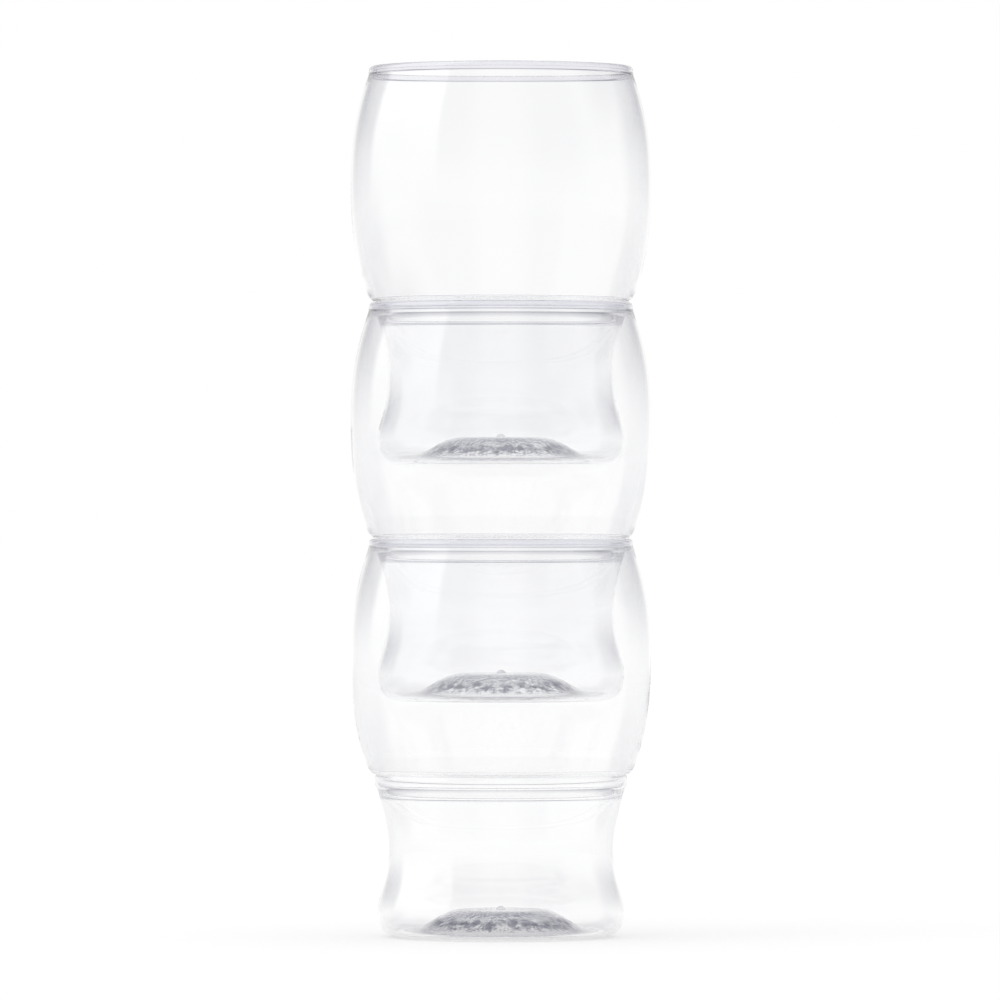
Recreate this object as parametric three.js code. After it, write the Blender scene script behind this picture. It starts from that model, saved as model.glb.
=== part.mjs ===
// Stacking plastic pint glass, three nested in one stack.
// Each glass is one blown skin: rim, barrel bowl, stacking ledge, waist, foot and domed base.
// Millimetres, +Z up. The origin is the centre of the standing ring of the bottom glass.
import * as THREE from 'three';

// The stack, from the table upwards
const STACK = ['bottom_glass', 'middle_glass', 'top_glass'];
const SEAT_GAP = 0.3; // air between a rim and the ledge that hangs on it

// Heights
const FOOT_HEIGHT = 7.5; // table to the widest turn of the foot
const WAIST_HEIGHT = 24.6; // table to the narrowest turn of the waist
const LEDGE_HEIGHT = 46.4; // table to the underside of the ledge
const BOWL_DEPTH = 66.9; // ledge to the crown of the rim
const BULGE_RISE = 32.3; // ledge to the widest turn of the bowl

// Rim
const RIM_DIAMETER = 75.3;
const LIP_THICKNESS = 1.2;
const LIP_HEIGHT = 1.7; // upright band of the lip
const LIP_ROUND = 1.1; // how far the crown stands in from the rim's outside
const LIP_ROUND_HEIGHT = 1.5; // drop of the outer rounding
const LIP_INNER_ROUND_HEIGHT = 0.6; // drop of the inner rounding
const LIP_FLARE = 1.2; // height over which the lip runs out into the bowl

// Bowl and shoulder
const BULGE_SWELL = 5.1; // bulge radius beyond the rim radius
const SHOULDER_OVERHANG = 0.6; // shoulder radius beyond the rim radius
const SHOULDER_RISE = 2.7; // ledge to the start of the bowl
const SHOULDER_INSET = 0.5; // the shoulder's corner, in from its radius
const SHOULDER_TURN = 0.9; // the shoulder's corner, up from the ledge

// Locating ring under the ledge
const NEST_CLEARANCE = 0.5; // locating ring inside the rim below it
const RING_HEIGHT = 3.8; // foot of the ring to the ledge
const RING_CREST_DROP = 1.6; // ledge to the crest of the ring
const RING_STEP = 0.5; // how far the ring stands out of the lower body
const GROOVE_DEPTH = 0.45; // groove between the ring and the ledge

// Lower body
const FOOT_CLEARANCE = 1.4; // foot inside the rim that it passes through
const WAIST_DRAW = 2.95; // waist radius less than the foot radius

// Base
const STAND_RADIUS = 27.8; // inner edge of the flat standing ring
const STAND_WIDTH = 1.8;
const PUNT_HEIGHT = 6.4; // dome of the base, on its underside
const PLATEAU_RADIUS = 10; // flat middle of the dome
const GATE_RADIUS = 1.3; // nub left by the gate of the preform
const GATE_HEIGHT = 0.9;

// Walls
const WALL = 0.9;
const BASE_WALL = 1.3;

// Slopes and fullness of the curves. A fullness is the share of a stretch that a tangent handle takes.
const FOOT_FULLNESS = 0.65;
const FOOT_TO_WAIST = [0.3, 0.53];
const WAIST_TO_NECK = [0.22, 0.56];
const NECK_FLARE = 0.31; // outward slope of the body where it meets the ring
const SHOULDER_FULLNESS = 0.6;
const BOWL_FLARE = 0.39; // outward slope of the bowl above the shoulder
const SHOULDER_TO_BULGE = [0.26, 0.41];
const BULGE_TO_LIP = [0.38, 0.38];
const BOWL_CLOSE = 0.33; // inward slope of the bowl under the lip
const PUNT_FULLNESS = [0.5, 0.52];
const ROUND_FULLNESS = 0.55; // a quarter round
const HOLLOW_FULLNESS = 0.9; // the tight inside corner of the step over the ledge

const FACETS = 32; // flats round the glass

// Clear, faintly cool plastic
const CLEAR_PLASTIC = { color: 0xeef2f5, roughness: 0.06, metalness: 0, transparent: true, opacity: 0.3 };

// Radii and heights that follow from the driving dimensions
const rimRadius = RIM_DIAMETER / 2;
const mouthRadius = rimRadius - LIP_THICKNESS;
const crownRadius = rimRadius - LIP_ROUND;
const bulgeRadius = rimRadius + BULGE_SWELL;
const shoulderRadius = rimRadius + SHOULDER_OVERHANG;
const ringRadius = mouthRadius - NEST_CLEARANCE;
const grooveRadius = ringRadius - GROOVE_DEPTH;
const neckRadius = ringRadius - RING_STEP;
const footRadius = mouthRadius - FOOT_CLEARANCE;
const waistRadius = footRadius - WAIST_DRAW;
const heelRadius = STAND_RADIUS + STAND_WIDTH;
const rimHeight = LEDGE_HEIGHT + BOWL_DEPTH;
const lipHeight = rimHeight - LIP_HEIGHT;
const bowlHeadHeight = lipHeight - LIP_FLARE;
const bulgeHeight = LEDGE_HEIGHT + BULGE_RISE;
const shoulderHeight = LEDGE_HEIGHT + SHOULDER_RISE;
const crestHeight = LEDGE_HEIGHT - RING_CREST_DROP;
const neckHeight = LEDGE_HEIGHT - RING_HEIGHT;
const domeHeight = PUNT_HEIGHT + BASE_WALL;
const stackPitch = BOWL_DEPTH + SEAT_GAP;

const at = (radius, height) => new THREE.Vector2(radius, height);

// Turning points that the outside and the inside share, drawn in from the outside by an inset
const crown = at(crownRadius, rimHeight);
const bowlHead = (inset) => at(rimRadius + BOWL_CLOSE * LIP_FLARE / 2 - inset, bowlHeadHeight);
const bulge = (inset) => at(bulgeRadius - inset, bulgeHeight);
const bowlFoot = (inset) => at(shoulderRadius - inset, shoulderHeight + inset);
const neck = (inset) => at(neckRadius - inset, neckHeight);
const waist = (inset) => at(waistRadius - inset, WAIST_HEIGHT);
const foot = (inset) => at(footRadius - inset, FOOT_HEIGHT);

const straight = (from, to) => new THREE.LineCurve(from, to);

// A cubic from one point to another, with the tangent handle that it has at each end
function sweep(from, leave, arrive, to) {
  return new THREE.CubicBezierCurve(from, from.clone().add(leave), to.clone().add(arrive), to);
}

// A rounded corner: both handles reach towards the sharp corner by the same share
function roundOff(from, corner, to, fullness) {
  const leave = corner.clone().sub(from).multiplyScalar(fullness);
  const arrive = corner.clone().sub(to).multiplyScalar(fullness);
  return sweep(from, leave, arrive, to);
}

// A curve that rises from one point to another, with an outward slope and a fullness at each end
function rise(from, slopeFrom, to, slopeTo, [leave, arrive]) {
  const height = to.y - from.y;
  const leaving = at(slopeFrom, 1).multiplyScalar(leave * height);
  const arriving = at(slopeTo, 1).multiplyScalar(-arrive * height);
  return sweep(from, leaving, arriving, to);
}

const reversed = (curve) => sweep(
  curve.v3,
  curve.v2.clone().sub(curve.v3),
  curve.v1.clone().sub(curve.v0),
  curve.v0,
);

// The long curves of the skin, upwards
const footToWaist = (inset) => rise(foot(inset), 0, waist(inset), 0, FOOT_TO_WAIST);
const waistToNeck = (inset) => rise(waist(inset), 0, neck(inset), NECK_FLARE, WAIST_TO_NECK);
const shoulderToBulge = (inset) => rise(bowlFoot(inset), BOWL_FLARE, bulge(inset), 0, SHOULDER_TO_BULGE);
const bulgeToLip = (inset) => rise(bulge(inset), 0, bowlHead(inset), -BOWL_CLOSE, BULGE_TO_LIP);

// Edge of the plateau of the domed base at a height
const plateauEdge = (height) => at(PLATEAU_RADIUS, height);

// Flank of the domed base, level at the plateau's edge and level again where it lands
function puntFlank(edge, land) {
  const reach = land.x - edge.x;
  const [leave, arrive] = PUNT_FULLNESS;
  return sweep(edge, at(leave * reach, 0), at(-arrive * reach, 0), land);
}

// Underside and outside, from the axis outwards and up to the crown of the rim.
// Each stretch has the number of facets that its bend needs.
function outerStretches() {
  const standInner = at(STAND_RADIUS, 0);
  const standOuter = at(heelRadius, 0);
  const crest = at(ringRadius, crestHeight);
  const groove = at(grooveRadius, LEDGE_HEIGHT);
  const ledgeEdge = at(mouthRadius, LEDGE_HEIGHT);
  const shoulderCorner = at(shoulderRadius - SHOULDER_INSET, LEDGE_HEIGHT + SHOULDER_TURN);
  const lipFoot = at(rimRadius, lipHeight);
  const lipTop = at(rimRadius, rimHeight - LIP_ROUND_HEIGHT);
  return [
    [straight(at(0, PUNT_HEIGHT), plateauEdge(PUNT_HEIGHT)), 1],
    [puntFlank(plateauEdge(PUNT_HEIGHT), standInner), 6],
    [straight(standInner, standOuter), 1],
    [roundOff(standOuter, at(footRadius, 0), foot(0), FOOT_FULLNESS), 4],
    [footToWaist(0), 3],
    [waistToNeck(0), 3],
    [roundOff(neck(0), at(ringRadius, neckHeight), crest, ROUND_FULLNESS), 2],
    [roundOff(crest, at(ringRadius, LEDGE_HEIGHT), groove, ROUND_FULLNESS), 2],
    [straight(groove, ledgeEdge), 1],
    [roundOff(ledgeEdge, shoulderCorner, bowlFoot(0), SHOULDER_FULLNESS), 3],
    [shoulderToBulge(0), 5],
    [bulgeToLip(0), 5],
    [rise(bowlHead(0), -BOWL_CLOSE, lipFoot, 0, [ROUND_FULLNESS, ROUND_FULLNESS]), 2],
    [straight(lipFoot, lipTop), 1],
    [roundOff(lipTop, at(rimRadius, rimHeight), crown, ROUND_FULLNESS), 3],
  ];
}

// Inside, from the crown of the rim down to the gate nub on the axis
function innerStretches() {
  const lipTop = at(mouthRadius, rimHeight - LIP_INNER_ROUND_HEIGHT);
  const lipFoot = at(mouthRadius, lipHeight);
  const stepHeight = LEDGE_HEIGHT + WALL;
  const stepCorner = at(shoulderRadius - SHOULDER_INSET - WALL, stepHeight);
  const step = at(ringRadius, stepHeight);
  const hollow = at(grooveRadius - WALL, stepHeight);
  const heel = at(heelRadius, WALL);
  const gateFoot = at(GATE_RADIUS, domeHeight);
  const gateTop = at(0, domeHeight + GATE_HEIGHT);
  const lipFlare = rise(bowlHead(WALL), -BOWL_CLOSE, lipFoot, 0, [ROUND_FULLNESS, ROUND_FULLNESS]);
  return [
    [roundOff(crown, at(mouthRadius, rimHeight), lipTop, ROUND_FULLNESS), 2],
    [straight(lipTop, lipFoot), 1],
    [reversed(lipFlare), 2],
    [reversed(bulgeToLip(WALL)), 3],
    [reversed(shoulderToBulge(WALL)), 3],
    [roundOff(bowlFoot(WALL), stepCorner, step, SHOULDER_FULLNESS), 3],
    [roundOff(step, hollow, neck(WALL), HOLLOW_FULLNESS), 3],
    [reversed(waistToNeck(WALL)), 3],
    [reversed(footToWaist(WALL)), 3],
    [roundOff(foot(WALL), at(footRadius - WALL, WALL), heel, FOOT_FULLNESS), 3],
    [reversed(puntFlank(plateauEdge(domeHeight), heel)), 5],
    [straight(plateauEdge(domeHeight), gateFoot), 1],
    [roundOff(gateFoot, at(GATE_RADIUS, gateTop.y), gateTop, ROUND_FULLNESS), 2],
  ];
}

// Points along a chain of stretches, with each shared end kept once
function trace(stretches) {
  const [[first]] = stretches;
  const points = [first.getPoint(0)];
  for (const [curve, facets] of stretches) {
    points.push(...curve.getPoints(facets).slice(1));
  }
  return points;
}

// One glass: its closed section turned about the axis, which is set upright
function glass(name) {
  const section = trace([...outerStretches(), ...innerStretches()]);
  const geometry = new THREE.LatheGeometry(section, FACETS);
  geometry.rotateX(Math.PI / 2);
  const mesh = new THREE.Mesh(geometry, new THREE.MeshStandardMaterial(CLEAR_PLASTIC));
  mesh.name = name;
  return mesh;
}

const stack = new THREE.Group();
STACK.forEach((name, level) => {
  const mesh = glass(name);
  mesh.position.z = level * stackPitch;
  stack.add(mesh);
});

export default stack;
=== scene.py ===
"""Stack of clear plastic pint glasses, blown in one section, in a plain pale studio.

Every glass is a closed section turned about the common upright axis. The frame gives where each one stands.
"""

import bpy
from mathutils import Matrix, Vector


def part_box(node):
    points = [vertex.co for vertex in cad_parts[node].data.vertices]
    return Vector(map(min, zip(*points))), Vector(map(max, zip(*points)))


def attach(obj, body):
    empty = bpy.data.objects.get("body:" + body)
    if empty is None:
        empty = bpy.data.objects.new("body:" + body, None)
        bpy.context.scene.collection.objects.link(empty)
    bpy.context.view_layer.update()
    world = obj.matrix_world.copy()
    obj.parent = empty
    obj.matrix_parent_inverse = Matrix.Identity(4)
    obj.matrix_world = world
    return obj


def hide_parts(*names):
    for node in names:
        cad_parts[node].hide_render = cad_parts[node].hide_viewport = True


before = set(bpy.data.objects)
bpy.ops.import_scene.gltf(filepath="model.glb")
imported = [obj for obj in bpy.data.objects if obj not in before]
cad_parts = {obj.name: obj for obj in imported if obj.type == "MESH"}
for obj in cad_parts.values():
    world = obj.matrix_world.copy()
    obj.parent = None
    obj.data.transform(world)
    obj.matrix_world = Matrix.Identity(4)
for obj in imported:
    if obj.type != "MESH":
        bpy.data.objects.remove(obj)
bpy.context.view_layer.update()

import itertools
import math
from types import SimpleNamespace

import bpy
import numpy as np
from bpy.props import FloatProperty, FloatVectorProperty, IntProperty, PointerProperty
from mathutils import Vector

bl_info = {
    "name": "Pint Glass Stack",
    "version": (1, 0, 0),
    "blender": (4, 5, 0),
    "location": "View3D > Sidebar > Pint Glasses",
    "description": "Makes a stack of clear plastic pint glasses and a pale studio around it",
    "category": "Add Mesh",
}

# The frame's nodes, from the table upwards, with the name of the blown piece that stands for each
GLASSES = {
    "bottom_glass": "bottom_pint_glass",
    "middle_glass": "middle_pint_glass",
    "top_glass": "top_pint_glass",
}
GLASS_LOW, GLASS_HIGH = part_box("bottom_glass")
GLASS_HEIGHT = GLASS_HIGH[2] - GLASS_LOW[2]
BULGE_DIAMETER = GLASS_HIGH[0] - GLASS_LOW[0]

# Fullness of the curves: the share of a stretch that its tangent handle takes at each end
FOOT_FULLNESS = 0.65
FOOT_TO_WAIST = (0.3, 0.53)
WAIST_TO_NECK = (0.22, 0.56)
SHOULDER_FULLNESS = 0.6
SHOULDER_TO_BULGE = (0.26, 0.41)
BULGE_TO_LIP = (0.38, 0.38)
PUNT_FULLNESS = (0.5, 0.52)
QUARTER_ROUND = 0.55
HOLLOW_FULLNESS = 0.9

# Outward slopes of the skin
NECK_FLARE = 0.31
BOWL_FLARE = 0.39
BOWL_CLOSE = 0.33

# Steps along the stretches of the section, on its outside and on its inside
OUTSIDE_STEPS = SimpleNamespace(
    stand=2, heel=10, body=8, ring=6, ledge=2, shoulder=8, bowl=10, lip=2, crown=8
)
INSIDE_STEPS = SimpleNamespace(crown=6, lip=2, bowl=9, shoulder=6, hollow=8, body=7, heel=9)
LIP_FLARE_STEPS = 5
DOME_STEPS = 64
FLANK_STEPS = 400
NUB_STEPS = 7

# Waves of the blown wall's thickness: turns round the glass, radians per metre up it, start and share
WALL_WAVES = (
    (2, 45.0, 0.4, 0.4),
    (5, -70.0, 1.9, 0.25),
    (9, 120.0, 4.1, 0.2),
    (14, -160.0, 2.7, 0.15),
)

# How far the waves and the grains are turned from one glass to the next, in radians
WAVE_TURN = 1.7
GRAIN_TURN = 2.3

# Grains, in shares of their pitch: room left at a cell's edge, and reach from a grain's middle
GRAIN_MARGIN = 0.15
GRAIN_REACH = 0.6

# The sine that gives each cell its shares: rates over columns and rows, size, and turn of the second share
COLUMN_RATE = 12.9898
ROW_RATE = 78.233
SINE_SIZE = 43758.5453
SECOND_TURN = 3.0

# Ranges over which the grained disc starts and ends: in shares of the gate's radius and of its own
GATE_EDGE = (1.0, 2.0)
DISC_EDGE = (0.93, 1.0)

# Frost and its painted shade: where it grows full and where painted highlights on grains break it up, in
# shares of the disc's radius
FROSTED_FLANK = (0.71, 0.79)
SPECKED_EDGE = (0.83, 0.93)
PLATEAU_FROST = 0.06

# Scuffs of the standing ring: where they end, in shares of its width and in metres above the table
SCUFF_EDGE = (0.5, 0.9)
SCUFF_TOP = (0.0001, 0.0006)
# Half frost on the scuffed ring, in roughness and in painted shade
SCUFF_FROST = 0.5

# Noise in the plastic: turns per metre and detail
THICKNESS_NOISE = (22.0, 1.0)
# The blotch noise mottles the frost's painted shade
BLOTCH_NOISE = (420.0, 4.0)
RUBBED_NOISE = (90.0, 5.0)
RIPPLE_NOISE = (260.0, 3.0)

# Ranges of the plastic's patterns: from, to, and the level at each
THICKNESS = (0.35, 0.65, 0.0, 1.0)
# Blotches of the frost's painted shade
BLOTCH = (0.42, 0.58, 0.0, 1.0)
# Painted highlights: the frost's painted shade taken off the tallest grains
UNBROKEN = (0.25, 0.5, 1.0, 0.0)
RUBBED = (0.5, 0.8)

# Stage, in metres
FLOOR_RADIUS = 12.0
FLOOR_SIDES = 96
LAMP_PLACE = (-1.1, -0.5, 1.3)
LAMP_TARGET = (0.0, 0.0, 0.1)
LAMP_SIZE = (1.2, 1.2)

# Ranges of the floor's light and shade over the distance from the axis: from, to, and the level at each
OWN_LIGHT = (0.6, 2.0, 0.65, 1.0)
SIDE_SHADE = (0.12, 0.3, 0.0, 0.18)
SIDE_SHADE_END = (1.5, 4.0, 1.0, 0.0)
CORNER_SHADE = (0.6, 3.0, 0.0, 0.15)

# Ranges of the studio's shade, in the same way, over the cosine of an angle, a depth or a height
BESIDE = (0.985, 0.94, 0.0, 1.0)
CORNER = (0.5, -0.5, 0.0, 1.0)
FAINT_BEFORE = (-0.3, 0.1, 0.4, 1.0)
NONE_BEFORE = (-0.3, 0.1, 0.0, 1.0)
CORNER_RISE = (0.0, 0.17, 0.15, 0.8)
OVERHEAD = (0.22, 0.5, 0.0, 1.0)
MIRROR_RISE = (0.0, 0.34, 0.0, 1.0)

# The tall window's two upright edges, in degrees of the compass
WINDOW_FAR_EDGE = (-64.0, -56.0)
WINDOW_NEAR_EDGE = (-131.0, -127.0)

# Bounces that a light path may take through the nested glasses
BOUNCES = 128

WHITE = (1.0, 1.0, 1.0, 1.0)


# Settings

def length(name, description, default):
    """A size in metres that a user may change."""
    return FloatProperty(
        name=name, description=description, default=default, min=0.0, unit="LENGTH", precision=5
    )


def color(name, description, default):
    """A colour that a user may change."""
    return FloatVectorProperty(
        name=name, description=description, default=default, min=0.0, max=1.0, subtype="COLOR"
    )


def roughness(name, description, default):
    """A roughness from 0 to 1 that a user may change."""
    return FloatProperty(
        name=name, description=description, default=default, min=0.0, max=1.0, subtype="FACTOR"
    )


def brightness(name, description, default):
    """A brightness that a user may change, where 1 is white."""
    return FloatProperty(name=name, description=description, default=default, min=0.0)


class PintGlassShape(bpy.types.PropertyGroup):
    """Sizes of one glass."""

    height: length("Height", "Table to the crown of the rim", GLASS_HEIGHT)
    bulge_diameter: length("Bulge diameter", "Across the widest turn of the bowl", BULGE_DIAMETER)
    rim_diameter: length("Rim diameter", "Across the outside of the lip", 0.0753)
    foot_height: length("Foot height", "Table to the widest turn of the foot", 0.0075)
    waist_height: length("Waist height", "Table to the narrowest turn of the waist", 0.0246)
    ledge_height: length("Ledge height", "Table to the underside of the stacking ledge", 0.0464)
    bulge_rise: length("Bulge rise", "Ledge to the widest turn of the bowl", 0.0323)
    lip_thickness: length("Lip thickness", "Thickness of the upright band at the rim", 0.0012)
    lip_height: length("Lip height", "Height of the upright band at the rim", 0.0017)
    lip_round: length("Lip rounding", "How far the crown stands in from the rim's outside", 0.0011)
    lip_round_height: length("Lip rounding drop", "Drop of the lip's outer rounding", 0.0015)
    lip_inner_drop: length("Inner rounding drop", "Drop of the lip's inner rounding", 0.0006)
    lip_flare: length("Lip flare", "Height over which the lip runs out into the bowl", 0.0012)
    shoulder_overhang: length("Shoulder overhang", "Shoulder radius beyond the rim radius", 0.0006)
    shoulder_rise: length("Shoulder rise", "Ledge to the start of the bowl", 0.0027)
    shoulder_inset: length("Shoulder inset", "The shoulder's corner, in from its radius", 0.0005)
    shoulder_turn: length("Shoulder turn", "The shoulder's corner, up from the ledge", 0.0009)
    nest_clearance: length("Nest clearance", "Locating ring inside the rim below it", 0.0005)
    ring_height: length("Ring height", "Foot of the locating ring to the ledge", 0.0038)
    ring_crest_drop: length("Ring crest drop", "Ledge to the crest of the locating ring", 0.0016)
    ring_step: length("Ring step", "How far the ring stands out of the lower body", 0.0005)
    groove_depth: length("Groove depth", "Groove between the ring and the ledge", 0.00045)
    foot_clearance: length("Foot clearance", "Foot inside the rim that it passes through", 0.0014)
    waist_draw: length("Waist draw", "Waist radius less than the foot radius", 0.00295)
    stand_radius: length("Standing ring radius", "Inner edge of the flat standing ring", 0.0278)
    stand_width: length("Standing ring width", "Width of the flat standing ring", 0.0018)
    punt_height: length("Dome height", "Rise of the domed base on its underside", 0.0064)
    plateau_radius: length("Plateau radius", "Flat middle of the domed base", 0.010)
    gate_radius: length("Gate radius", "Radius of the nub left by the preform's gate", 0.0013)
    gate_height: length("Gate height", "Height of the nub left by the preform's gate", 0.0009)
    wall: length("Wall", "Thickness of the blown wall", 0.0009)
    base_wall: length("Base wall", "Thickness of the domed base", 0.0013)
    wall_wave: length("Wall wave", "How far the blown wall's inside wanders", 0.00003)
    grain_pitch: length("Grain pitch", "Distance between the moulded grains of the base", 0.00105)
    grain_height: length("Grain height", "Height of the moulded grains of the base", 0.0001)
    grain_radius: length("Grain radius", "Outer edge of the grained disc", 0.0232)
    around: IntProperty(name="Around", description="Steps round the axis", default=340, min=32, max=340)


class ClearPlastic(bpy.types.PropertyGroup):
    """Finish of the clear plastic."""

    tint: color("Tint", "Colour that light takes in one pass through a wall", (0.990, 0.991, 0.993))
    thick_tint: color("Thick tint", "The same where the blown wall is thicker", (0.982, 0.984, 0.988))
    # Painted shade: darkens the rim far more than its thicker plastic would, standing in for the dark lines
    # it shows
    lip_shade: color("Lip tint", "The same in the thick lip", (0.84, 0.84, 0.88))
    # Painted shade: greys the frosted base and the scuffed ring, standing in for the dim light that frost
    # scatters
    frost_shade: color("Frost tint", "The same in the frost of the domed base", (0.13, 0.13, 0.19))
    refraction: FloatProperty(
        name="Refraction", description="Index of refraction", default=1.57, min=1.0, max=2.0
    )
    gloss: roughness("Gloss", "Roughness of the blown wall", 0.012)
    haze: roughness("Haze", "Added roughness of the rubbed patches", 0.02)
    grain: roughness("Grain", "Added roughness of the frost", 0.10)


class PaleStudio(bpy.types.PropertyGroup):
    """Floor, light and camera."""

    floor_color: color("Floor colour", "Colour of the floor", (0.96, 0.96, 0.96))
    dim_color: color("Dim colour", "Colour of the studio's corners and top", (0.10, 0.10, 0.17))
    floor_light: brightness("Floor light", "Brightness of the floor by itself", 1.03)
    mirrored: brightness("Mirrored", "Brightness of the studio where gloss mirrors it", 0.6)
    window: brightness("Window", "The same in the tall window at the left", 1.6)
    lamp: brightness("Lamp", "Brightness of the soft lamp over the floor", 0.8)
    camera_distance: length("Camera distance", "Camera to the axis of the stack", 2.62)
    camera_height: length("Camera height", "Camera above the floor", 0.1243)
    camera_left: length("Camera left", "Camera to the left of the axis", 0.00027)
    frame_width: length("Frame width", "Width that the picture takes in at the axis", 0.2847)


# Section of one glass

def at(radius, height):
    """A point of the section."""
    return np.array([radius, height])


def cubic(start, leave, arrive, end, steps):
    """Cubic curve: its two ends and two handle tips, weighted by the Bernstein terms of the share run."""
    run = np.linspace(0.0, 1.0, steps + 1)[:, None]
    left = 1.0 - run
    near = left**3 * start + 3.0 * left**2 * run * (start + leave)
    far = 3.0 * left * run**2 * (end + arrive) + run**3 * end
    return near + far


def straight(start, end, steps):
    """Straight stretch: even shares of the way from start to end."""
    return start + np.linspace(0.0, 1.0, steps + 1)[:, None] * (end - start)


def round_off(start, corner, end, fullness, steps):
    """Rounded corner: a cubic whose handles both reach towards the sharp corner by the same share."""
    return cubic(start, (corner - start) * fullness, (corner - end) * fullness, end, steps)


def rise(start, slope, end, end_slope, fullness, steps):
    """Rising curve: a cubic whose handles follow the slope at each end for a share of the height."""
    height = end[1] - start[1]
    leave = at(slope, 1.0) * height * fullness[0]
    arrive = at(end_slope, 1.0) * -height * fullness[1]
    return cubic(start, leave, arrive, end, steps)


def dome(start, plateau, land, steps):
    """Domed base, at even steps of radius: level from its start to the plateau's edge, then a cubic that is
    level at that edge and level again where it lands.
    """
    edge = at(plateau, start[1])
    reach = land[0] - plateau
    leave = at(PUNT_FULLNESS[0] * reach, 0.0)
    arrive = at(-PUNT_FULLNESS[1] * reach, 0.0)
    flank = cubic(edge, leave, arrive, land, FLANK_STEPS)
    line = np.vstack([start, flank])
    radius = np.linspace(start[0], land[0], steps + 1)
    return np.stack([radius, np.interp(radius, line[:, 0], line[:, 1])], axis=-1)


def turning_points(shape):
    """Radii and heights where the section turns, summed from the sizes of the glass."""
    p = SimpleNamespace()
    p.rim = shape.rim_diameter / 2.0
    p.mouth = p.rim - shape.lip_thickness
    p.bulge = shape.bulge_diameter / 2.0
    p.shoulder = p.rim + shape.shoulder_overhang
    p.ring = p.mouth - shape.nest_clearance
    p.groove = p.ring - shape.groove_depth
    p.neck = p.ring - shape.ring_step
    p.foot = p.mouth - shape.foot_clearance
    p.waist = p.foot - shape.waist_draw
    p.heel = shape.stand_radius + shape.stand_width
    p.top = shape.height
    p.ledge_z = shape.ledge_height
    p.lip_z = p.top - shape.lip_height
    p.head_z = p.lip_z - shape.lip_flare
    p.bulge_z = p.ledge_z + shape.bulge_rise
    p.shoulder_z = p.ledge_z + shape.shoulder_rise
    p.neck_z = p.ledge_z - shape.ring_height
    p.dome_z = shape.punt_height + shape.base_wall
    p.crown = at(p.rim - shape.lip_round, p.top)
    return p


def lower_body(shape, p, inset, steps):
    """Foot to waist to neck, upwards, drawn in from the outside by an inset."""
    foot = at(p.foot - inset, shape.foot_height)
    waist = at(p.waist - inset, shape.waist_height)
    neck = at(p.neck - inset, p.neck_z)
    below = rise(foot, 0.0, waist, 0.0, FOOT_TO_WAIST, steps)
    above = rise(waist, 0.0, neck, NECK_FLARE, WAIST_TO_NECK, steps)
    return [below, above]


def bowl(shape, p, inset, lip, steps):
    """Shoulder to bulge to lip, upwards, drawn in from the outside by an inset."""
    start = at(p.shoulder - inset, p.shoulder_z + inset)
    bulge = at(p.bulge - inset, p.bulge_z)
    head = at(p.rim + BOWL_CLOSE * shape.lip_flare / 2.0 - inset, p.head_z)
    below = rise(start, BOWL_FLARE, bulge, 0.0, SHOULDER_TO_BULGE, steps)
    above = rise(bulge, 0.0, head, -BOWL_CLOSE, BULGE_TO_LIP, steps)
    fullness = (QUARTER_ROUND, QUARTER_ROUND)
    flare = rise(head, -BOWL_CLOSE, at(lip, p.lip_z), 0.0, fullness, LIP_FLARE_STEPS)
    return [below, above, flare]


def outside(shape, p):
    """Stretches of the underside and the outside, from the axis outwards and up to the crown of the rim."""
    steps = OUTSIDE_STEPS
    stand_in = at(shape.stand_radius, 0.0)
    stand_out = at(p.heel, 0.0)
    crest = at(p.ring, p.ledge_z - shape.ring_crest_drop)
    groove = at(p.groove, p.ledge_z)
    ledge = at(p.mouth, p.ledge_z)
    corner = at(p.shoulder - shape.shoulder_inset, p.ledge_z + shape.shoulder_turn)
    lip_top = at(p.rim, p.top - shape.lip_round_height)
    body = lower_body(shape, p, 0.0, steps.body)
    sides = bowl(shape, p, 0.0, p.rim, steps.bowl)
    return [
        dome(at(0.0, shape.punt_height), shape.plateau_radius, stand_in, DOME_STEPS),
        straight(stand_in, stand_out, steps.stand),
        round_off(stand_out, at(p.foot, 0.0), body[0][0], FOOT_FULLNESS, steps.heel),
        *body,
        round_off(body[-1][-1], at(p.ring, p.neck_z), crest, QUARTER_ROUND, steps.ring),
        round_off(crest, at(p.ring, p.ledge_z), groove, QUARTER_ROUND, steps.ring),
        straight(groove, ledge, steps.ledge),
        round_off(ledge, corner, sides[0][0], SHOULDER_FULLNESS, steps.shoulder),
        *sides,
        straight(sides[-1][-1], lip_top, steps.lip),
        round_off(lip_top, at(p.rim, p.top), p.crown, QUARTER_ROUND, steps.crown),
    ]


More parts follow.
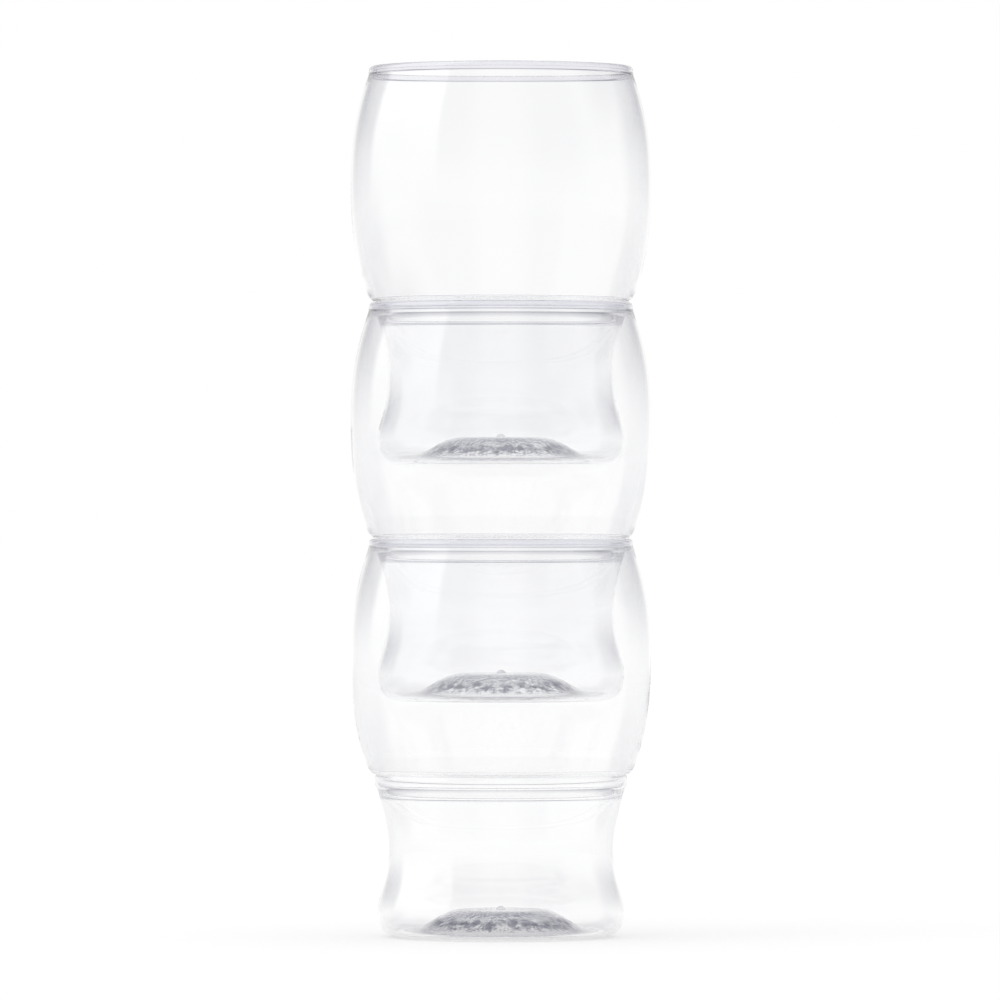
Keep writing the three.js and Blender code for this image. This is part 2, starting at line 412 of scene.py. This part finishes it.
def inside(shape, p):
    """Stretches of the inside, from the crown of the rim down to the gate nub on the axis."""
    steps = INSIDE_STEPS
    lip_top = at(p.mouth, p.top - shape.lip_inner_drop)
    step_z = p.ledge_z + shape.wall
    step_corner = at(p.shoulder - shape.shoulder_inset - shape.wall, step_z)
    step = at(p.ring, step_z)
    hollow = at(p.groove - shape.wall, step_z)
    heel = at(p.heel, shape.wall)
    gate = at(shape.gate_radius, p.dome_z)
    gate_top = at(0.0, p.dome_z + shape.gate_height)
    body = lower_body(shape, p, shape.wall, steps.body)
    sides = bowl(shape, p, shape.wall, p.mouth, steps.bowl)
    foot = body[0][0]
    return [
        round_off(p.crown, at(p.mouth, p.top), lip_top, QUARTER_ROUND, steps.crown),
        straight(lip_top, sides[-1][-1], steps.lip),
        *[stretch[::-1] for stretch in sides[::-1]],
        round_off(sides[0][0], step_corner, step, SHOULDER_FULLNESS, steps.shoulder),
        round_off(step, hollow, body[-1][-1], HOLLOW_FULLNESS, steps.hollow),
        *[stretch[::-1] for stretch in body[::-1]],
        round_off(foot, at(foot[0], shape.wall), heel, FOOT_FULLNESS, steps.heel),
        dome(gate, shape.plateau_radius, heel, DOME_STEPS)[::-1],
        round_off(gate, at(gate[0], gate_top[1]), gate_top, QUARTER_ROUND, NUB_STEPS),
    ]


def chain(stretches):
    """One line of points through the stretches, with each shared end kept once."""
    return np.vstack([stretches[0][:1]] + [stretch[1:] for stretch in stretches])


# Blown skin

def cell_share(column, row, turn):
    """A fixed share, 0 to 1, for each cell: the fraction of a large sine of its column and row."""
    wave = np.sin(column * COLUMN_RATE + row * ROW_RATE + turn) * SINE_SIZE
    return wave - np.floor(wave)


def grains(x, y, pitch, turn):
    """Height, 0 to 1, of a field of round grains.

    Each square cell has one grain, moved from its middle by the cell's own shares. The height falls from 1
    at the nearest grain's middle to 0 at its reach, as a squared cosine.
    """
    column = np.floor(x / pitch)
    row = np.floor(y / pitch)
    room = 1.0 - 2.0 * GRAIN_MARGIN
    nearest = np.full(x.shape, np.inf)
    for across, along in itertools.product((-1, 0, 1), (-1, 0, 1)):
        cell = (column + across, row + along)
        grain_x = cell[0] + GRAIN_MARGIN + room * cell_share(*cell, turn)
        grain_y = cell[1] + GRAIN_MARGIN + room * cell_share(*cell, turn + SECOND_TURN)
        nearest = np.minimum(nearest, np.hypot(grain_x - x / pitch, grain_y - y / pitch))
    return np.cos(0.5 * np.pi * np.clip(nearest / GRAIN_REACH, 0.0, 1.0)) ** 2


def wall_wander(angle, height, turn):
    """Slow waves of the blown wall, -1 to 1: a sum of sines round the glass and up it."""
    return sum(
        share * np.sin(turns * angle + rate * height + start + turn)
        for turns, rate, start, share in WALL_WAVES
    )


def inside_share(outer, inner):
    """How freely each ring of the section wanders, 0 to 1: not on the outside, and on the inside by half
    a sine from the rim to the axis.
    """
    way = np.zeros(len(outer) + len(inner) - 1)
    way[len(outer):] = np.arange(1, len(inner)) / (len(inner) - 1)
    return np.sin(np.pi * way[1:-1])[:, None]


def smooth_step(low, high, value):
    """0 below low, 1 above high, and a cubic ease between them."""
    share = np.clip((value - low) / (high - low), 0.0, 1.0)
    return share * share * (3.0 - 2.0 * share)


def dome_sides(count):
    """1 on the rings of the domed base and 0 on the others, for its underside and for its upper side."""
    index = np.arange(1, count - 1)[:, None]
    below = (index <= DOME_STEPS).astype(float)
    above = (index >= count - 1 - NUB_STEPS - DOME_STEPS).astype(float)
    return below, above


def grained_disc(shape, radius):
    """1 on the grained disc, with a smooth step up round the gate and a smooth step down at its edge."""
    start = smooth_step(*GATE_EDGE, radius / shape.gate_radius)
    return start * (1.0 - smooth_step(*DISC_EDGE, radius / shape.grain_radius))


def scuffed_ring(shape, radius, height):
    """How much the standing ring is scuffed, 0 to 1: its flat and the start of its two edges."""
    middle = shape.stand_radius + shape.stand_width / 2.0
    across = 1.0 - smooth_step(*SCUFF_EDGE, np.abs(radius - middle) / shape.stand_width)
    return across * (1.0 - smooth_step(*SCUFF_TOP, height))


def frost_level(shape, disc, radius, height):
    """Frost, 0 to 1, weighting its roughness and its painted shade: faint on the grained disc, full on the
    dome's flank, and half on the scuffed ring.
    """
    flank = smooth_step(*FROSTED_FLANK, radius / shape.grain_radius)
    frosted = disc * (PLATEAU_FROST + (1.0 - PLATEAU_FROST) * flank)
    return frosted + SCUFF_FROST * scuffed_ring(shape, radius, height)


def blown_skin(shape, level):
    """Section and grid of points of one glass, and its layers: frost, specks of painted highlight in it,
    and lip.

    The section's radius r and height z are turned about the axis: x = r cos a, y = r sin a. On the
    inside the slow waves are added to r, fading out at the rim and on the axis. Grains stand out of both
    sides of the domed base, down from z below it and up from z above it, and the tallest of them at the
    frost's lower edge carry painted highlights, where the frost's painted shade is taken away.
    """
    p = turning_points(shape)
    outer = chain(outside(shape, p))
    inner = chain(inside(shape, p))
    section = np.vstack([outer, inner[1:]])
    angle = np.arange(shape.around) * (2.0 * np.pi / shape.around)
    radius = np.repeat(section[1:-1, :1], shape.around, axis=1)
    height = np.repeat(section[1:-1, 1:], shape.around, axis=1)
    waves = inside_share(outer, inner) * wall_wander(angle[None, :], height, WAVE_TURN * level)
    radius = radius + shape.wall_wave * waves
    x = radius * np.cos(angle)
    y = radius * np.sin(angle)
    below, above = dome_sides(len(section))
    disc = grained_disc(shape, radius) * (below + above)
    bumps = disc * grains(x, y, shape.grain_pitch, GRAIN_TURN * level)
    lifted = height + shape.grain_height * bumps * (above - below)
    # Layers: frost weights the frost's roughness and its painted shade, the speck layer marks painted
    # highlights on the tallest grains, and the lip layer marks the lip's painted shade
    layers = {
        "frost": frost_level(shape, disc, radius, height),
        "highlight_speck": bumps * smooth_step(*SPECKED_EDGE, radius / shape.grain_radius),
        "lip": smooth_step(p.head_z, p.lip_z, height),
    }
    return section, np.stack([x, y, lifted], axis=-1), layers


def closed_mesh(name, section, skin, layers, base):
    """Mesh of one glass: the grid's quads, and at each end of the section a fan to the axis."""
    rings, around = skin.shape[:2]
    low = [[0.0, 0.0, section[0, 1]]]
    high = [[0.0, 0.0, section[-1, 1]]]
    points = np.vstack([skin.reshape(-1, 3), low, high]) + [0.0, 0.0, base]
    index = np.arange(rings * around).reshape(rings, around)
    turned = np.roll(index, -1, axis=1)
    quads = np.stack([index[:-1], turned[:-1], turned[1:], index[1:]], axis=-1).reshape(-1, 4)
    first = np.full(around, rings * around)
    under = np.stack([first, turned[0], index[0]], axis=-1)
    over = np.stack([first + 1, index[-1], turned[-1]], axis=-1)
    mesh = bpy.data.meshes.new(name)
    mesh.from_pydata(points.tolist(), [], quads.tolist() + under.tolist() + over.tolist())
    mesh.polygons.foreach_set("use_smooth", np.ones(len(mesh.polygons), dtype=bool))
    for layer, values in layers.items():
        made = mesh.attributes.new(layer, "FLOAT", "POINT")
        made.data.foreach_set("value", np.append(values.ravel(), [0.0, 0.0]).astype(np.float32))
    mesh.validate()
    return mesh


# Shader nodes

def node(tree, kind, **sockets):
    """Adds a node to a tree, with plain values on the named sockets."""
    made = tree.nodes.new(kind)
    for name, value in sockets.items():
        made.inputs[name.replace("_", " ")].default_value = value
    return made


def noise(tree, place, scale, detail):
    """Smooth noise on a place, with a number of turns per metre."""
    made = node(tree, "ShaderNodeTexNoise", Scale=scale, Detail=detail, Roughness=0.55)
    tree.links.new(place, made.inputs["Vector"])
    return made.outputs["Fac"]


def spread(tree, value, low, high, start, end):
    """Maps the range low to high of a value onto start to end."""
    made = node(tree, "ShaderNodeMapRange", From_Min=low, From_Max=high, To_Min=start, To_Max=end)
    tree.links.new(value, made.inputs["Value"])
    return made.outputs["Result"]


def math_node(tree, operation, *values):
    """One arithmetic step on values, each a plain number or another node's."""
    made = tree.nodes.new("ShaderNodeMath")
    made.operation = operation
    for socket, value in zip(made.inputs, values):
        if isinstance(value, (int, float)):
            socket.default_value = value
        else:
            tree.links.new(value, socket)
    return made.outputs["Value"]


def add_up(tree, first, second):
    """Sum of two values."""
    return math_node(tree, "ADD", first, second)


def mix_color(tree, factor, first, second):
    """Colour between two others by a factor. Each of the two is a plain colour or another node's."""
    made = tree.nodes.new("ShaderNodeMix")
    made.data_type = "RGBA"
    tree.links.new(factor, made.inputs[0])
    for socket, value in ((made.inputs[6], first), (made.inputs[7], second)):
        if isinstance(value, tuple):
            socket.default_value = value
        else:
            tree.links.new(value, socket)
    return made.outputs[2]


def layer_value(tree, name):
    """Value of one of the glass's own layers."""
    made = tree.nodes.new("ShaderNodeAttribute")
    made.attribute_name = name
    return made.outputs["Fac"]


# Plastic

def plastic_color(tree, place, finish):
    """Colour of the plastic: the wall's two tints, then painted shade on the lip, then the frost's painted
    shade in blotches, broken by painted highlights on the tallest grains.
    """
    thickness = spread(tree, noise(tree, place, *THICKNESS_NOISE), *THICKNESS)
    wall = mix_color(tree, thickness, (*finish.tint, 1.0), (*finish.thick_tint, 1.0))
    # Painted shade on the lip
    rim = mix_color(tree, layer_value(tree, "lip"), wall, (*finish.lip_shade, 1.0))
    # Painted shade in the frost, mottled in blotches and taken off the tallest grains as painted highlights
    blotch = spread(tree, noise(tree, place, *BLOTCH_NOISE), *BLOTCH)
    unbroken = spread(tree, layer_value(tree, "highlight_speck"), *UNBROKEN)
    mottle = math_node(tree, "MULTIPLY", blotch, unbroken)
    grey = math_node(tree, "MULTIPLY", layer_value(tree, "frost"), mottle)
    return mix_color(tree, grey, rim, (*finish.frost_shade, 1.0))


def plastic_roughness(tree, place, finish):
    """Roughness of the plastic: the gloss of its wall with rubbed patches, and more in the frost."""
    rubbed = spread(
        tree, noise(tree, place, *RUBBED_NOISE), *RUBBED, finish.gloss, finish.gloss + finish.haze
    )
    rough = math_node(tree, "MULTIPLY", layer_value(tree, "frost"), finish.grain)
    return add_up(tree, rubbed, rough)


def clear_plastic(finish):
    """See-through plastic, with fine ripples in its wall."""
    material = bpy.data.materials.new("clear_plastic")
    material.use_nodes = True
    tree = material.node_tree
    shader = tree.nodes["Principled BSDF"]
    shader.inputs["IOR"].default_value = finish.refraction
    shader.inputs["Transmission Weight"].default_value = 1.0
    place = tree.nodes.new("ShaderNodeTexCoord").outputs["Object"]
    tree.links.new(plastic_color(tree, place, finish), shader.inputs["Base Color"])
    tree.links.new(plastic_roughness(tree, place, finish), shader.inputs["Roughness"])
    ripple = node(tree, "ShaderNodeBump", Strength=0.1, Distance=0.00002)
    tree.links.new(noise(tree, place, *RIPPLE_NOISE), ripple.inputs["Height"])
    tree.links.new(ripple.outputs["Normal"], shader.inputs["Normal"])
    return material


class PINTGLASS_OT_blow_glasses(bpy.types.Operator):
    """Blow the glasses of the stack, one for each glass of the frame"""

    bl_idname = "pintglass.blow_glasses"
    bl_label = "Blow glasses"

    def execute(self, context):
        shape = context.scene.pint_glass_shape
        plastic = clear_plastic(context.scene.pint_glass_plastic)
        for level, (name, piece_name) in enumerate(GLASSES.items()):
            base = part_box(name)[0][2]
            mesh = closed_mesh(piece_name, *blown_skin(shape, level), base)
            mesh.materials.append(plastic)
            piece = bpy.data.objects.new(piece_name, mesh)
            context.scene.collection.objects.link(piece)
            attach(piece, name)
            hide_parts(name)
        return {"FINISHED"}


# Stage

def floor_finish(studio):
    """Floor's material: near the stack partly lit, to keep its shadow, and further off bright by itself.

    What gloss and clear plastic show of it has the floor's shade.
    """
    material = bpy.data.materials.new("pale_floor")
    material.use_nodes = True
    tree = material.node_tree
    tree.nodes.remove(tree.nodes["Principled BSDF"])
    place = tree.nodes.new("ShaderNodeTexCoord").outputs["Object"]
    compass = compass_angle(tree, place)[0]
    distance = distance_from_axis(tree, place)
    path = tree.nodes.new("ShaderNodeLightPath")
    indirect = math_node(tree, "SUBTRACT", 1.0, path.outputs["Is Camera Ray"])
    dim = math_node(tree, "MULTIPLY", floor_shade(tree, compass, distance), indirect)
    lit = node(tree, "ShaderNodeBsdfDiffuse", Color=(*studio.floor_color, 1.0))
    bright = node(tree, "ShaderNodeEmission", Strength=studio.floor_light)
    tree.links.new(mix_color(tree, dim, WHITE, (*studio.dim_color, 1.0)), bright.inputs["Color"])
    own_light = spread(tree, distance, *OWN_LIGHT)
    mix = tree.nodes.new("ShaderNodeMixShader")
    tree.links.new(math_node(tree, "MULTIPLY", seen_rays(tree, path), own_light), mix.inputs[0])
    tree.links.new(lit.outputs[0], mix.inputs[1])
    tree.links.new(bright.outputs[0], mix.inputs[2])
    tree.links.new(mix.outputs[0], tree.nodes["Material Output"].inputs["Surface"])
    return material


def pale_floor(studio):
    """Floor: a flat disc round the axis, x = r cos a, y = r sin a."""
    angle = np.arange(FLOOR_SIDES) * (2.0 * np.pi / FLOOR_SIDES)
    edge = FLOOR_RADIUS * np.stack([np.cos(angle), np.sin(angle), np.zeros(FLOOR_SIDES)], axis=-1)
    mesh = bpy.data.meshes.new("floor")
    mesh.from_pydata(edge.tolist(), [], [list(range(FLOOR_SIDES))])
    mesh.materials.append(floor_finish(studio))
    floor = bpy.data.objects.new("floor", mesh)
    bpy.context.scene.collection.objects.link(floor)


def distance_from_axis(tree, place):
    """Distance of a place of the floor from the axis of the stack."""
    made = tree.nodes.new("ShaderNodeVectorMath")
    made.operation = "LENGTH"
    tree.links.new(place, made.inputs[0])
    return made.outputs["Value"]


def floor_shade(tree, compass, distance):
    """How dim the floor is, 0 to 1: a little beside the stack and in the corners, less before it."""
    ahead = math_node(tree, "COSINE", compass)
    beside = spread(tree, ahead, *BESIDE)
    near = spread(tree, distance, *SIDE_SHADE)
    fading = spread(tree, distance, *SIDE_SHADE_END)
    faint = math_node(tree, "MULTIPLY", beside, math_node(tree, "MULTIPLY", near, fading))
    outwards = spread(tree, distance, *CORNER_SHADE)
    corner = math_node(tree, "MULTIPLY", studio_corner(tree, compass), outwards)
    fainter = spread(tree, ahead, *FAINT_BEFORE)
    return math_node(tree, "MULTIPLY", math_node(tree, "MAXIMUM", faint, corner), fainter)


def seen_rays(tree, path):
    """1 on rays that show the floor to the camera, straight or through gloss and clear plastic."""
    direct = add_up(tree, path.outputs["Is Camera Ray"], path.outputs["Is Glossy Ray"])
    return math_node(tree, "MINIMUM", add_up(tree, direct, path.outputs["Is Transmission Ray"]), 1.0)


def compass_angle(tree, place):
    """Compass angle of a place or direction, clockwise from the backdrop, and its depth and height."""
    split = tree.nodes.new("ShaderNodeSeparateXYZ")
    tree.links.new(place, split.inputs[0])
    compass = math_node(tree, "ARCTAN2", split.outputs["X"], split.outputs["Y"])
    return compass, split.outputs["Y"], split.outputs["Z"]


def studio_corner(tree, compass):
    """1 towards the studio's four upright corners, where the cosine of four times the angle is low."""
    side = math_node(tree, "COSINE", math_node(tree, "MULTIPLY", compass, 4.0))
    return spread(tree, side, *CORNER)


def tall_window(tree, compass):
    """1 towards the tall window at the left, 0 elsewhere."""
    far = spread(tree, compass, *np.radians(WINDOW_FAR_EDGE), 1.0, 0.0)
    near = spread(tree, compass, *np.radians(WINDOW_NEAR_EDGE), 0.0, 1.0)
    return math_node(tree, "MULTIPLY", far, near)


def studio_shade(tree, compass, depth, height):
    """How dim the studio is in a direction, 0 to 1: its upright corners and what is overhead.

    The corners grow dimmer upwards. The half of the studio before the stack has fainter corners and no
    dim top, and the tall window is never dim.
    """
    corner = studio_corner(tree, compass)
    above = spread(tree, height, *CORNER_RISE)
    fainter = spread(tree, depth, *FAINT_BEFORE)
    upright = math_node(tree, "MULTIPLY", corner, math_node(tree, "MULTIPLY", above, fainter))
    overhead = spread(tree, height, *OVERHEAD)
    back = spread(tree, depth, *NONE_BEFORE)
    dim = math_node(tree, "MAXIMUM", upright, math_node(tree, "MULTIPLY", overhead, back))
    wall = spread(tree, tall_window(tree, compass), 0.0, 1.0, 1.0, 0.0)
    return math_node(tree, "MULTIPLY", dim, wall)


def gloss_level(tree, path, compass, height, studio):
    """Brightness of the studio: 1, and on rays that gloss mirrors, its own level or its tall window's.

    These levels fade in above the horizon, where the floor's brightness ends.
    """
    rays = path.outputs
    mirrored = math_node(tree, "SUBTRACT", rays["Is Glossy Ray"], rays["Is Transmission Ray"])
    share = math_node(tree, "MULTIPLY", mirrored, spread(tree, height, *MIRROR_RISE))
    window = tall_window(tree, compass)
    level = spread(tree, window, 0.0, 1.0, studio.mirrored - 1.0, studio.window - 1.0)
    return math_node(tree, "MULTIPLY_ADD", share, level, 1.0)


def studio_world(studio):
    """World: white to the camera and the floor, and to the plastic white with dim corners and top."""
    world = bpy.data.worlds.new("pale_studio")
    world.use_nodes = True
    tree = world.node_tree
    background = tree.nodes["Background"]
    path = tree.nodes.new("ShaderNodeLightPath")
    direction = tree.nodes.new("ShaderNodeTexCoord").outputs["Generated"]
    compass, depth, height = compass_angle(tree, direction)
    shade = studio_shade(tree, compass, depth, height)
    room = mix_color(tree, shade, WHITE, (*studio.dim_color, 1.0))
    plain = add_up(tree, path.outputs["Is Camera Ray"], path.outputs["Is Diffuse Ray"])
    tree.links.new(mix_color(tree, plain, room, WHITE), background.inputs["Color"])
    tree.links.new(gloss_level(tree, path, compass, height, studio), background.inputs["Strength"])
    bpy.context.scene.world = world


def softbox(name, place, target, size, level):
    """Rectangular lamp of an even brightness: its power is that level times pi times its area."""
    lamp = bpy.data.lights.new(name, "AREA")
    lamp.shape = "RECTANGLE"
    lamp.size, lamp.size_y = size
    lamp.energy = level * math.pi * size[0] * size[1]
    made = bpy.data.objects.new(name, lamp)
    made.location = place
    made.rotation_euler = (Vector(target) - Vector(place)).to_track_quat("-Z", "Y").to_euler()
    made.visible_camera = False
    made.visible_glossy = False
    made.visible_transmission = False
    bpy.context.scene.collection.objects.link(made)


def level_camera(studio):
    """Level camera, with the lens that takes in the frame's width at the axis."""
    camera = bpy.data.cameras.new("camera")
    camera.sensor_width = 36.0
    camera.lens = camera.sensor_width * studio.camera_distance / studio.frame_width
    made = bpy.data.objects.new("camera", camera)
    made.location = (-studio.camera_left, -studio.camera_distance, studio.camera_height)
    made.rotation_euler = (math.pi / 2.0, 0.0, 0.0)
    bpy.context.scene.collection.objects.link(made)
    bpy.context.scene.camera = made


class PINTGLASS_OT_set_stage(bpy.types.Operator):
    """Set the floor, the light and the camera"""

    bl_idname = "pintglass.set_stage"
    bl_label = "Set stage"

    def execute(self, context):
        scene = context.scene
        studio = scene.pint_glass_studio
        pale_floor(studio)
        studio_world(studio)
        softbox("soft_lamp", LAMP_PLACE, LAMP_TARGET, LAMP_SIZE, studio.lamp)
        level_camera(studio)
        scene.view_settings.view_transform = "Standard"
        scene.cycles.max_bounces = BOUNCES
        scene.cycles.transmission_bounces = BOUNCES
        scene.cycles.glossy_bounces = BOUNCES
        return {"FINISHED"}


# Sidebar and start

class PINTGLASS_PT_stack(bpy.types.Panel):
    """Pint glass stack"""

    bl_label = "Pint glass stack"
    bl_space_type = "VIEW_3D"
    bl_region_type = "UI"
    bl_category = "Pint Glasses"

    def draw(self, context):
        scene = context.scene
        for group in (scene.pint_glass_shape, scene.pint_glass_plastic, scene.pint_glass_studio):
            for setting in type(group).__annotations__:
                self.layout.prop(group, setting)
        self.layout.operator("pintglass.blow_glasses")
        self.layout.operator("pintglass.set_stage")


CLASSES = (
    PintGlassShape,
    ClearPlastic,
    PaleStudio,
    PINTGLASS_OT_blow_glasses,
    PINTGLASS_OT_set_stage,
    PINTGLASS_PT_stack,
)


def register():
    """Registers the classes and hangs the settings on the scene."""
    for cls in CLASSES:
        bpy.utils.register_class(cls)
    bpy.types.Scene.pint_glass_shape = PointerProperty(type=PintGlassShape)
    bpy.types.Scene.pint_glass_plastic = PointerProperty(type=ClearPlastic)
    bpy.types.Scene.pint_glass_studio = PointerProperty(type=PaleStudio)


def unregister():
    """Takes the settings off the scene and the classes out again."""
    del bpy.types.Scene.pint_glass_studio
    del bpy.types.Scene.pint_glass_plastic
    del bpy.types.Scene.pint_glass_shape
    for cls in reversed(CLASSES):
        bpy.utils.unregister_class(cls)


def main():
    """Makes the stack and its stage."""
    register()
    bpy.ops.pintglass.blow_glasses()
    bpy.ops.pintglass.set_stage()


if __name__ == "__main__":
    main()
